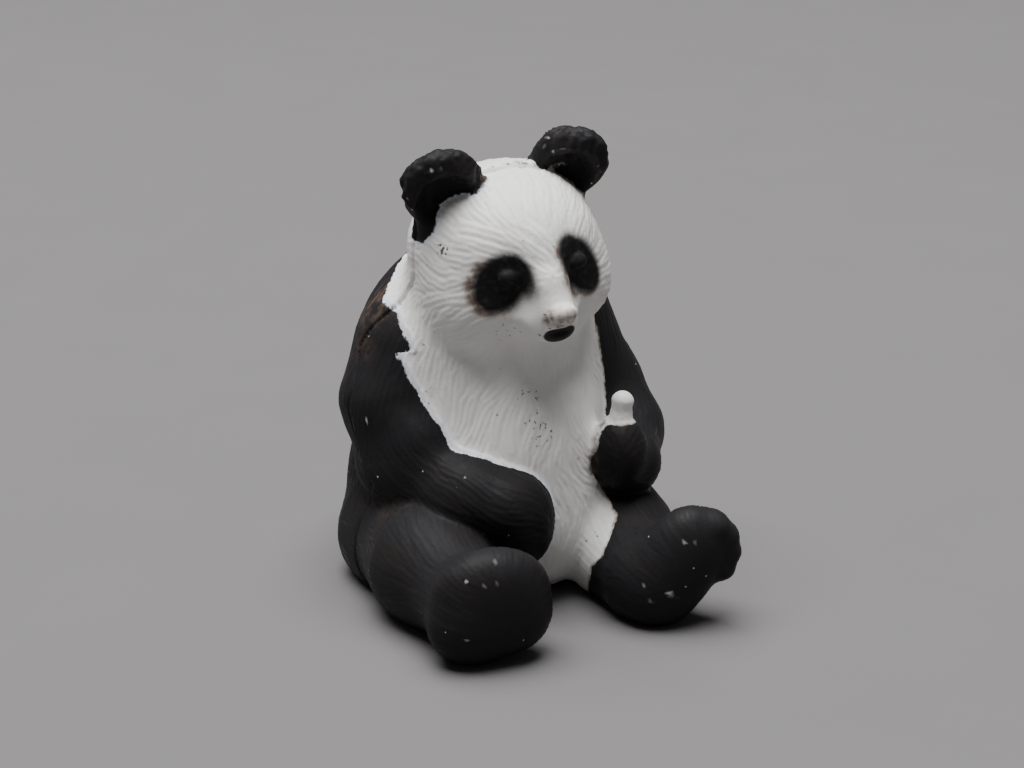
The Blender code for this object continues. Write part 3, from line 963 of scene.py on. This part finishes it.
@dataclass
class FurCarving:
    """Carved fur: fine ridges over broad tufts, laid along the body, with creases where they meet.

    Heights and reaches are in shares. Fur gets lower over each reach, which is a gap from the form.
    """

    forms: MouldedForms
    edges: PaintEdges
    fine: Comb = Comb(0.68, 2.1, 11)
    tufts: Comb = Comb(1.7, 4.6, 21)
    tuft_height: float = 0.9
    heights: tuple[float, ...] = (0.07, 0.085, 0.055, 0.055, 0.04, 0.035)
    part_sharpness: float = 4.0
    muzzle: Triple = (0.0, -12.5, -2.5)
    muzzle_reach: Span = (2.5, 6.5)
    muzzle_rest: float = 0.12
    eye: Triple = (4.3, -9.0, 1.2)
    eye_reach: Span = (1.8, 3.6)
    ear_reach: Span = (-0.1, 0.6)
    eye_and_ear_rest: float = 0.25
    bamboo_reach: Span = (0.2, 0.8)
    base_reach: Span = (0.6, 3.0)
    base_rest: float = 0.3
    sole_reach: Span = (-25.6, -23.5)
    parting: Triple = (0.0, -10.5, 1.5)
    nape_fall: float = 1.2
    nape_reach: Span = (0.0, 8.0)
    flank_spread: float = 0.03
    head_freedom: float = 0.5
    torso_freedom: float = 1.1
    swings: tuple[tuple[float, float, int], ...] = ((0.4, 4.5, 1), (0.18, 1.8, 2))
    coat_height: float = 0.05
    coat_rise: Span = (-0.05, 0.1)
    bead_height: float = 0.13
    bead_place: float = -0.35
    bead_width: float = 0.22
    bead_side: Span = (0.0, -3.0)
    bead_start: Span = (14.0, 18.0)
    bead_end: Span = (34.0, 30.0)
    rim_reach: Span = (0.4, 0.0)
    rim_start: Span = (5.5, 7.0)
    stub_reach: Span = (0.4, 0.1)
    stub_end: Span = (21.2, 20.0)
    stub_roughness: float = 0.8
    lumps: tuple[tuple[float, float, int], ...] = ((0.16, 0.8, 5), (0.1, 0.4, 6))

    def nearness(self, points: np.ndarray) -> np.ndarray:
        """How much each body part counts at points.

        Args:
            points: Rows of points.

        Returns:
            Rows of shares that add up to 1, for head, torso, arms and legs.
        """
        forms = self.forms
        masses = (forms.head, forms.torso, forms.right_arm, forms.left_arm, forms.right_leg, forms.left_leg)
        gaps = np.stack([mass.distance(points) for mass in masses], axis=1)
        weights = np.exp(-self.part_sharpness * (gaps - gaps.min(axis=1, keepdims=True)))
        return weights / weights.sum(axis=1, keepdims=True)

    def relief(self, points: np.ndarray) -> np.ndarray:
        """Depth of the fine ridges.

        Args:
            points: Rows of points.

        Returns:
            One depth for each point.
        """
        forms = self.forms
        height = self.nearness(points) @ np.array(self.heights, np.float32)
        local = forms.head.local(points)
        muzzle = np.linalg.norm(local - np.array(self.muzzle, np.float32), axis=1)
        height *= rest_or_full(self.muzzle_rest, muzzle, self.muzzle_reach)
        for side in Side:
            socket = np.array(self.eye, np.float32) * np.array((side.value, 1, 1), np.float32)
            eye = np.linalg.norm(local - socket, axis=1)
            height *= rest_or_full(self.eye_and_ear_rest, eye, self.eye_reach)
            ear = forms.make_ear(side).distance(local)
            height *= rest_or_full(self.eye_and_ear_rest, ear, self.ear_reach)
        height *= ramp(forms.bamboo().distance(points), *self.bamboo_reach)
        height *= rest_or_full(self.base_rest, points[:, 2], self.base_reach)
        height *= ramp(points[:, 1], *self.sole_reach)
        return height

    def headings(self, points: np.ndarray, normals: np.ndarray) -> np.ndarray:
        """Direction that the fur lies in at points on the surface.

        Args:
            points: Rows of points.
            normals: Their surface normals.

        Returns:
            Unit rows along the surface.
        """
        forms = self.forms
        shares = self.nearness(points)
        local = forms.head.local(points)
        spread = unit(local - np.array(self.parting, np.float32))
        spread[:, 2] -= self.nape_fall * ramp(local[:, 1], *self.nape_reach)
        head = spread @ turned(forms.head_turn).astype(np.float32).T
        flank = points[:, 0] * self.flank_spread
        torso = np.stack((flank, np.zeros(len(points)), np.full(len(points), -1.0)), axis=1)
        limbs = (forms.right_sleeve, forms.left_sleeve, forms.right_thigh, forms.left_thigh)
        flows = [head, torso] + [limb.heading(points) for limb in limbs]
        total = sum(shares[:, column:column + 1] * flow for column, flow in enumerate(flows))
        along = unit(total - (total * normals).sum(axis=1, keepdims=True) * normals)
        free = 1.0 + self.torso_freedom * shares[:, 1] + self.head_freedom * shares[:, 0]
        swing = free * wander(points, self.swings)
        across = np.cross(normals, along)
        return unit(along * np.cos(swing)[:, None] + across * np.sin(swing)[:, None]).astype(np.float32)

    def paint_body(self, points: np.ndarray) -> np.ndarray:
        """Thickness of the black coat, and the bead of white that was brushed up to it on the right.

        Args:
            points: Rows of points.

        Returns:
            One thickness for each point.
        """
        coat = self.edges.coat(points)
        bead = self.bead_height * bump(coat, self.bead_place, self.bead_width)
        bead *= ramp(points[:, 0], *self.bead_side)
        bead *= ramp(points[:, 2], *self.bead_start) * ramp(points[:, 2], *self.bead_end)
        return self.coat_height * ramp(coat, *self.coat_rise) + bead

    def roughness(self, points: np.ndarray) -> np.ndarray:
        """Rough modelling on the bamboo and on the ears' rims and backs.

        Args:
            points: Rows of points.

        Returns:
            One height for each point.
        """
        local = self.forms.head.local(points)
        gaps = [self.forms.make_ear(side).distance(local) for side in Side]
        rims = ramp(np.minimum(gaps[0], gaps[1]), *self.rim_reach) * ramp(local[:, 2], *self.rim_start)
        stub = ramp(self.forms.bamboo().distance(points), *self.stub_reach)
        stub *= ramp(points[:, 2], *self.stub_end)
        return (rims + self.stub_roughness * stub) * wander(points, self.lumps)

    def carve(self, mesh: bpy.types.Mesh) -> np.ndarray:
        """Cuts the fur into a mesh.

        Args:
            mesh: The settled mesh, in shares.

        Returns:
            Height of the fine ridges at each vertex, from 0 to 1.
        """
        points, normals = get_points(mesh), get_normals(mesh)
        ridges = self.fine.ridges(points, normals, self.headings)
        tufts = self.tufts.ridges(points, normals, self.headings)
        waves = (ridges - self.fine.mean_height) + self.tuft_height * (tufts - self.tufts.mean_height)
        rise = waves * in_blocks(self.relief, points)
        rise += in_blocks(self.roughness, points) + in_blocks(self.paint_body, points)
        set_points(mesh, points + normals * rise[:, None])
        LOG.info("fur carved into %d vertices", len(points))
        return ridges


def linear(colour: str) -> tuple[float, float, float, float]:
    """An sRGB hex colour as linear red, green, blue and alpha.

    Args:
        colour: Six hex digits after a hash.

    Returns:
        The four linear values.
    """
    values = [int(colour[start:start + 2], 16) / 255.0 for start in (1, 3, 5)]
    red, green, blue = (v / 12.92 if v <= 0.04045 else ((v + 0.055) / 1.055) ** 2.4 for v in values)
    return red, green, blue, 1.0


Socket = bpy.types.NodeSocket


def add_node(tree: bpy.types.NodeTree, kind: str, inputs: dict[str | int, object] | None = None,
             **settings: object) -> bpy.types.Node:
    """Adds a node with its settings and links.

    Args:
        tree: The material's nodes.
        kind: The node's type, without the words ShaderNode in front.
        inputs: Values or output sockets for its inputs, by name or place.
        settings: Its properties by name.

    Returns:
        The new node.
    """
    made = tree.nodes.new("ShaderNode" + kind)
    for name, value in settings.items():
        setattr(made, name, value)
    for name, value in (inputs or {}).items():
        if isinstance(value, Socket):
            tree.links.new(value, made.inputs[name])
        else:
            made.inputs[name].default_value = value
    return made


@dataclass(frozen=True)
class Fade:
    """A smooth change from one value to another while a level goes from low to high."""

    low: float
    high: float
    start: float = 0.0
    end: float = 1.0

    def inputs(self, level: Socket) -> dict[int, object]:
        """The level and the fade's four values, in the order of the node that makes it."""
        return dict(enumerate((level, self.low, self.high, self.start, self.end)))


@dataclass(frozen=True)
class Cloud:
    """An irregular pattern with its real size in millimetres."""

    size: float
    detail: float = 2.0
    rough: float = 0.5

    def inputs(self, place: Socket) -> dict[str, object]:
        """What the noise node reads."""
        return {"Vector": place, "Scale": MM_IN_METRE / self.size, "Detail": self.detail,
                "Roughness": self.rough}


@dataclass(frozen=True)
class Dots:
    """Scattered dots: millimetres between cells, how a dot fades out, and which cells have one."""

    spacing: float
    fade: Fade
    luck: Fade
    strength: float


@dataclass(frozen=True)
class Cover:
    """Where a layer covers what lies under it.

    An edge is one of the mesh's attributes. Brush marks shift it by some shares, across is a fade
    over metres of the piece's X, and the cloud breaks the layer up, more where the edge lifts it.
    """

    edge: str = ""
    fade: Fade | None = None
    brush: float = 0.0
    across: Fade | None = None
    cloud: Cloud | None = None
    broken: Fade = Fade(0.0, 1.0)
    lift: float = 0.0
    strength: float = 1.0


class PaintLayers:
    """The nodes of a layered paint, in the piece's own place."""

    def __init__(self, tree: bpy.types.NodeTree, marks: tuple[tuple[Cloud, float], ...]) -> None:
        """Starts with the brush marks that every edge shares.

        Args:
            tree: The material's nodes, emptied here.
            marks: Clouds, each with how far it pushes an edge about, in shares.
        """
        tree.nodes.clear()
        self.node = partial(add_node, tree)
        self.place = self.node("TexCoord").outputs["Object"]
        self.ragged: Socket | float = -0.5 * sum(push for _, push in marks)
        for cloud, push in marks:
            wave = self.node("TexNoise", cloud.inputs(self.place)).outputs[0]
            pushed = {0: wave, 1: push, 2: self.ragged}
            self.ragged = self.node("Math", pushed, operation="MULTIPLY_ADD").outputs[0]

    def product(self, levels: list[tuple[Socket, Fade | None]], strength: float) -> Socket:
        """Fades each level and multiplies them together.

        Args:
            levels: The levels, each with its fade or none.
            strength: What the product is multiplied by.

        Returns:
            The product.
        """
        share: Socket | float = strength
        for level, fade in levels:
            if fade:
                level = self.node("MapRange", fade.inputs(level), interpolation_type="SMOOTHSTEP").outputs[0]
            share = self.node("Math", {0: share, 1: level}, operation="MULTIPLY").outputs[0]
        return share

    def cover(self, cover: Cover) -> Socket:
        """Builds the nodes of one cover.

        Args:
            cover: What bounds the layer.

        Returns:
            How far the layer covers, from 0 to 1.
        """
        levels: list[tuple[Socket, Fade | None]] = []
        if cover.edge:
            edge = self.node("Attribute", attribute_name=cover.edge).outputs["Fac"]
            if cover.brush:
                brushed = {0: self.ragged, 1: cover.brush, 2: edge}
                edge = self.node("Math", brushed, operation="MULTIPLY_ADD").outputs[0]
            levels.append((edge, cover.fade))
        if cover.across:
            levels.append((self.node("SeparateXYZ", {0: self.place}).outputs[0], cover.across))
        if cover.cloud:
            cloud = self.node("TexNoise", cover.cloud.inputs(self.place)).outputs[0]
            if cover.lift:
                lifted = {0: edge, 1: cover.lift, 2: cloud}
                cloud = self.node("Math", lifted, operation="MULTIPLY_ADD").outputs[0]
            levels.append((cloud, cover.broken))
        return self.product(levels, cover.strength)

    def dots(self, dots: Dots) -> Socket:
        """Builds the nodes of scattered dots.

        Args:
            dots: The dots.

        Returns:
            How far the dots cover, from 0 to their strength.
        """
        cells = self.node("TexVoronoi", {"Vector": self.place, "Scale": MM_IN_METRE / dots.spacing}).outputs
        return self.product([(cells["Distance"], dots.fade), (cells["Color"], dots.luck)], dots.strength)

    def stack(self, base: str | Socket, layers: Iterable[tuple[Cover | Socket, str | Socket]]) -> Socket:
        """Lays colours over one another in order.

        Args:
            base: The lowest colour, as hex digits or a socket.
            layers: What each further layer covers, and its colour.

        Returns:
            The colour of the whole stack.
        """
        under = linear(base) if isinstance(base, str) else base
        for cover, tone in layers:
            share = self.cover(cover) if isinstance(cover, Cover) else cover
            over = linear(tone) if isinstance(tone, str) else tone
            under = self.node("Mix", {0: share, 6: under, 7: over}, data_type="RGBA").outputs[2]
        return under


@dataclass(frozen=True)
class PaintedVinyl:
    """Solid moulded vinyl, brushed and sprayed with matt enamel and scuffed by handling.

    The white is satin and shows every fur stroke in soft shades. The black is flatter, has a little
    more sheen on its crests, and is chipped to white and scuffed down to the brown first coat; that
    brown is partly painted sheen on the right shoulder, upper arm and thigh.
    """

    white: str = "#F3F2EF"
    white_shade: str = "#E6E4DF"
    # Painted highlight: a brighter, bluish white along the raised white bead at the black's edge.
    white_bead_highlight: str = "#F6F8FF"
    black: str = "#262527"
    black_worn: str = "#2B2725"
    spray_black: str = "#242426"
    spray_thin: str = "#343233"
    rub_brown_and_sheen: str = "#5A4A40"
    mouth: str = "#1E1C1B"
    # Brown of scuffed black, partly painted sheen on the right shoulder, upper arm and thigh.
    nose: str = "#857973"
    nose_pink: str = "#BBAAA0"
    brown: str = "#7D6450"
    dirt: str = "#5E554F"
    stain: str = "#5F5046"
    # A greyish tone that darkens the white down in the fur's creases.
    crease_tone: str = "#8A8279"
    brush_marks: tuple[tuple[Cloud, float], ...] = ((Cloud(0.3), 0.25), (Cloud(1.4), 0.6))
    coat_cover: Cover = Cover("coat", Fade(-0.08, 0.08), brush=1.0)
    spray_cover: Cover = Cover("spray", Fade(-0.6, 0.45), brush=0.6)
    mouth_cover: Cover = Cover("mouth", Fade(-0.1, 0.1), brush=0.4)
    nose_cover: Cover = Cover("nose", Fade(-0.3, 0.2), brush=1.0, cloud=Cloud(0.8),
                              broken=Fade(0.3, 0.6, 0.35, 0.9))
    nose_mottle: Cover = Cover(cloud=Cloud(0.6, 3.0), broken=Fade(0.42, 0.6))
    shade_cover: Cover = Cover(cloud=Cloud(4.0, 4.0), broken=Fade(0.4, 0.7, 0.0, 0.7))
    # Mixes in up to 12 percent of that tone where the fur's creases are deepest.
    crease_darkening: Cover = Cover("crease", Fade(0.25, 0.0, 0.0, 0.12))
    specks: Dots = Dots(1.1, Fade(0.16, 0.08), Fade(0.86, 0.88), 0.7)
    halo_cover: Cover = Cover("undercoat", Fade(-0.5, 0.3), brush=0.8, cloud=Cloud(1.4),
                              broken=Fade(0.3, 0.6, 0.35, 0.9))
    # Where the painted highlight lies: the white side of the black's edge, on the panda's own right.
    bead_highlight_cover: Cover = Cover("coat", Fade(-0.8, -0.3), brush=1.0, across=Fade(0.002, 0.0))
    fringe_cover: Cover = Cover("coat", Fade(-0.42, -0.05), brush=1.0, across=Fade(0.0, 0.002),
                                cloud=Cloud(1.8), broken=Fade(0.32, 0.52), strength=0.8)
    smear_cover: Cover = Cover("grime", Fade(0.0, 0.1), cloud=Cloud(0.42, 2.0, 0.6), broken=Fade(0.65, 0.7),
                               lift=0.16)
    worn_cover: Cover = Cover(cloud=Cloud(4.0, 4.0), broken=Fade(0.45, 0.75, 0.0, 0.6))
    sharp_wear: Cover = Cover("sharp", Fade(0.6, 1.0), cloud=Cloud(1.1, 3.0), broken=Fade(0.4, 0.58),
                              strength=0.8)
    # Brown scuffs over the black, partly painted sheen on the right shoulder, upper arm and thigh.
    rub_and_sheen_cover: Cover = Cover("rubs_and_sheen", cloud=Cloud(1.5, 4.0, 0.65), broken=Fade(0.4, 0.62), strength=0.8)
    flake_cover: Cover = Cover("sharp", Fade(0.65, 0.9), cloud=Cloud(0.6), broken=Fade(0.6, 0.64),
                               strength=0.9)
    flecks: Dots = Dots(1.9, Fade(0.065, 0.035), Fade(0.58, 0.6), 0.6)
    chip_cover: Cover = Cover("chips")
    thin_spray: Cover = Cover(cloud=Cloud(0.7, 3.0), broken=Fade(0.45, 0.7))
    stain_cover: Cover = Cover("stains", cloud=Cloud(1.1), broken=Fade(0.3, 0.6))
    crest_polish: Cover = Cover("crease", Fade(0.75, 1.0), cloud=Cloud(2.5), broken=Fade(0.5, 0.65, 0.0, 0.3))
    white_roughness: float = 0.52
    black_roughness: float = 0.5
    unevenness: Cloud = Cloud(0.9, 3.0)
    uneven_by: float = 0.18
    white_gloss: float = 0.45
    black_gloss: float = 0.07
    grain: Cloud = Cloud(0.35, 3.0, 0.6)
    grain_strength: float = 0.35
    grain_depth: float = 0.00008
    refraction: float = 1.5

    def colour(self, layers: PaintLayers, coat: Socket, spray: Socket) -> Socket:
        """Lays white with its dirt, crease tone, painted edge highlight and nose, then the sprayed
        and brushed black with its wear, partly painted sheen.

        Args:
            layers: The material's nodes.
            coat: Where the brushed black covers.
            spray: Where the sprayed black covers.

        Returns:
            The colour of the paint.
        """
        nose = layers.stack(self.nose, [(self.nose_mottle, self.nose_pink)])
        white = layers.stack(self.white, [
            # The crease layer darkens the white in the fur's creases.
            (self.shade_cover, self.white_shade), (self.crease_darkening, self.crease_tone),
            (layers.dots(self.specks), self.dirt), (self.halo_cover, self.brown),
            # The bead layer is a painted highlight along the black's edge.
            (self.bead_highlight_cover, self.white_bead_highlight), (self.fringe_cover, self.brown), (self.nose_cover, nose),
            (self.smear_cover, self.dirt)])
        # Edge wear and scuffs, the scuffs partly painted sheen, then white chips.
        pairs = ((layers.cover(self.sharp_wear), layers.cover(self.rub_and_sheen_cover)),
                 (layers.dots(self.flecks), layers.cover(self.chip_cover)))
        wear_and_sheen, chipped = (layers.node("Math", {0: first, 1: second}, operation="MAXIMUM").outputs[0]
                         for first, second in pairs)
        black = layers.stack(self.black, [
            (self.worn_cover, self.black_worn), (wear_and_sheen, self.rub_brown_and_sheen), (self.flake_cover, self.white_shade),
            (chipped, self.white_shade)])
        sprayed = layers.stack(self.spray_black, [(self.thin_spray, self.spray_thin)])
        return layers.stack(white, [
            (spray, sprayed), (coat, black), (self.stain_cover, self.stain), (self.mouth_cover, self.mouth)])

    def material(self) -> bpy.types.Material:
        """Makes the material."""
        material = bpy.data.materials.new("painted_vinyl_enamel")
        material.use_nodes = True
        layers = PaintLayers(material.node_tree, self.brush_marks)
        coat, spray = layers.cover(self.coat_cover), layers.cover(self.spray_cover)
        dark = layers.node("Math", {0: coat, 1: spray}, operation="MAXIMUM").outputs[0]
        polish = layers.cover(self.crest_polish)
        polished = layers.node("Math", {0: self.black_roughness, 1: polish}, operation="SUBTRACT").outputs[0]
        even = layers.node("Mix", {0: dark, 2: self.white_roughness, 3: polished}).outputs[0]
        uneven = layers.node("TexNoise", self.unevenness.inputs(layers.place)).outputs[0]
        centred = layers.node("Math", {0: uneven, 1: 0.5}, operation="SUBTRACT").outputs[0]
        roughness = layers.node("Math", {0: centred, 1: self.uneven_by, 2: even}, operation="MULTIPLY_ADD")
        grain = layers.node("TexNoise", self.grain.inputs(layers.place)).outputs[0]
        bumps = layers.node("Bump", {"Height": grain, "Strength": self.grain_strength,
                                     "Distance": self.grain_depth})
        gloss = layers.node("Mix", {0: dark, 2: self.white_gloss, 3: self.black_gloss})
        shader = layers.node("BsdfPrincipled", {
            "Base Color": self.colour(layers, coat, spray), "Roughness": roughness.outputs[0],
            "Normal": bumps.outputs[0], "IOR": self.refraction, "Specular IOR Level": gloss.outputs[0]})
        layers.node("OutputMaterial", {"Surface": shader.outputs[0]})
        return material


@dataclass
class PandaFigurine:
    """The whole moulded figure, one piece."""

    scale: FrameScale = field(default_factory=FrameScale)
    forms: MouldedForms = field(default_factory=MouldedForms)
    finish: PaintedVinyl = field(default_factory=PaintedVinyl)
    merge_distance: float = 0.001
    voxel: float = 0.165
    settle_rounds: int = 3
    most_triangles: int = 197000

    def copy_of_solid(self) -> bpy.types.Object:
        """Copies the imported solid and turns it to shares, with its loose triangles joined.

        Returns:
            The copy.
        """
        select_only(frame["nodes"][SOLID_NODE])
        bpy.ops.object.duplicate()
        piece = bpy.context.active_object
        piece.name = "panda_figure"
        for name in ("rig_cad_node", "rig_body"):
            if name in piece:
                del piece[name]
        bpy.ops.object.parent_clear(type="CLEAR_KEEP_TRANSFORM")
        piece.data.materials.clear()
        piece.data.transform(self.scale.to_shares())
        bpy.ops.object.mode_set(mode="EDIT")
        bpy.ops.mesh.select_all(action="SELECT")
        bpy.ops.mesh.remove_doubles(threshold=self.merge_distance)
        bpy.ops.object.mode_set(mode="OBJECT")
        return piece

    def shape(self, piece: bpy.types.Object, edges: PaintEdges) -> None:
        """Remeshes the copy finely, lays it on the moulded forms and carves the fur.

        Args:
            piece: The copy of the solid, in shares.
            edges: Where the paint stops, for the paint's thickness.
        """
        modify(piece, "REMESH", mode="VOXEL", voxel_size=self.voxel, use_smooth_shade=True)
        LOG.info("remeshed: %d vertices", len(piece.data.vertices))
        set_points(piece.data, settle(get_points(piece.data), self.forms.distance, self.settle_rounds))
        set_values(piece.data, "crease", FurCarving(self.forms, edges).carve(piece.data))
        triangles = sum(len(face.vertices) - 2 for face in piece.data.polygons)
        share = min(1.0, self.most_triangles / triangles)
        modify(piece, "DECIMATE", ratio=share, use_collapse_triangulate=True)
        points = get_points(piece.data)
        points[:, 2] = np.maximum(points[:, 2], self.scale.base_trim)
        set_points(piece.data, points)

    def build(self) -> bpy.types.Object:
        """Builds, carves, paints and places the figure.

        Returns:
            The finished object.
        """
        piece = self.copy_of_solid()
        edges = PaintEdges(self.forms)
        self.shape(piece, edges)
        edges.mark(piece.data)
        piece.data.transform(self.scale.to_metres())
        piece.data.materials.append(self.finish.material())
        select_only(piece)
        bpy.ops.object.shade_smooth()
        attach(piece, BODY)
        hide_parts(SOLID_NODE)
        LOG.info("%s: %d faces", piece.name, len(piece.data.polygons))
        return piece


@dataclass(frozen=True)
class PaperSweep:
    """Grey background paper, pressed and uncoated, so it shows faint mottling and no gloss."""

    colour: str = "#727070"
    mottle: str = "#6E6C6C"
    fibres: Cloud = Cloud(MM_IN_METRE / 60.0, 4.0)
    roughness: float = 0.9

    def material(self) -> bpy.types.Material:
        """Makes the material."""
        material = bpy.data.materials.new("background_paper")
        material.use_nodes = True
        layers = PaintLayers(material.node_tree, ())
        fibres = layers.node("TexNoise", self.fibres.inputs(layers.place)).outputs[0]
        colour = layers.stack(self.colour, [(fibres, self.mottle)])
        shader = layers.node("BsdfPrincipled", {"Base Color": colour, "Roughness": self.roughness})
        layers.node("OutputMaterial", {"Surface": shader.outputs[0]})
        return material


@dataclass
class Studio:
    """Floor, soft light and the camera at the photograph's angle."""

    scale: FrameScale = field(default_factory=FrameScale)
    azimuth: float = -25.0
    elevation: float = 20.0
    lens: float = 85.0
    sensor: float = 36.0
    target: Triple = (0.0, -3.0, 22.0)
    shares_per_pixel: float = 0.107
    nearest: float = 0.01
    floor_size: float = 3.0
    floor_parts: int = 8
    key_place: Triple = (-0.07, 0.12, 1.14)
    key_aim: Triple = (0.0, 0.0, 0.022)
    key_size: float = 1.0
    key_power: float = 34.0
    ambient: float = 0.1

    def floor(self) -> None:
        """A level sheet of paper."""
        bpy.ops.object.select_all(action="DESELECT")
        bpy.ops.mesh.primitive_grid_add(x_subdivisions=self.floor_parts, y_subdivisions=self.floor_parts,
                                        size=self.floor_size)
        sheet = bpy.context.active_object
        sheet.name = "floor"
        sheet.data.materials.append(PaperSweep().material())
        LOG.info("floor: %.1f m", self.floor_size)

    def lights(self) -> None:
        """A broad soft light overhead and an even surround."""
        bpy.ops.object.light_add(type="AREA", location=self.key_place)
        lamp = bpy.context.active_object
        lamp.name = "overhead"
        lamp.data.size = self.key_size
        lamp.data.energy = self.key_power
        towards = Vector(self.key_aim) - Vector(self.key_place)
        lamp.rotation_euler = towards.to_track_quat("-Z", "Y").to_euler()
        world = bpy.data.worlds.new("surround")
        bpy.context.scene.world = world
        world.use_nodes = True
        surround = world.node_tree.nodes["Background"]
        surround.inputs[0].default_value = linear("#FFFFFF")
        surround.inputs[1].default_value = self.ambient
        LOG.info("light %s: %.2f W", lamp.name, self.key_power)

    def camera(self) -> None:
        """Places the camera where the photograph was taken from."""
        around, above = math.radians(self.azimuth), math.radians(self.elevation)
        level = Vector((math.sin(around), -math.cos(around), 0.0)) * math.cos(above)
        back = level + Vector((0.0, 0.0, math.sin(above)))
        distance = self.shares_per_pixel * IMAGE_WIDTH / self.sensor * self.lens
        place = self.scale.to_metres() @ (Vector(self.target) + back * distance)
        bpy.ops.object.camera_add(location=place, rotation=(-back).to_track_quat("-Z", "Y").to_euler())
        camera = bpy.context.active_object
        camera.data.lens = self.lens
        camera.data.sensor_width = self.sensor
        camera.data.clip_start = self.nearest
        bpy.context.scene.camera = camera
        LOG.info("camera: %.3f m away", distance * self.scale.share)


def main() -> None:
    """Builds the figure and its studio in order."""
    logging.basicConfig(level=logging.INFO, format="%(message)s")
    PandaFigurine().build()
    studio = Studio()
    studio.floor()
    studio.lights()
    studio.camera()


if __name__ == "__main__":
    main()
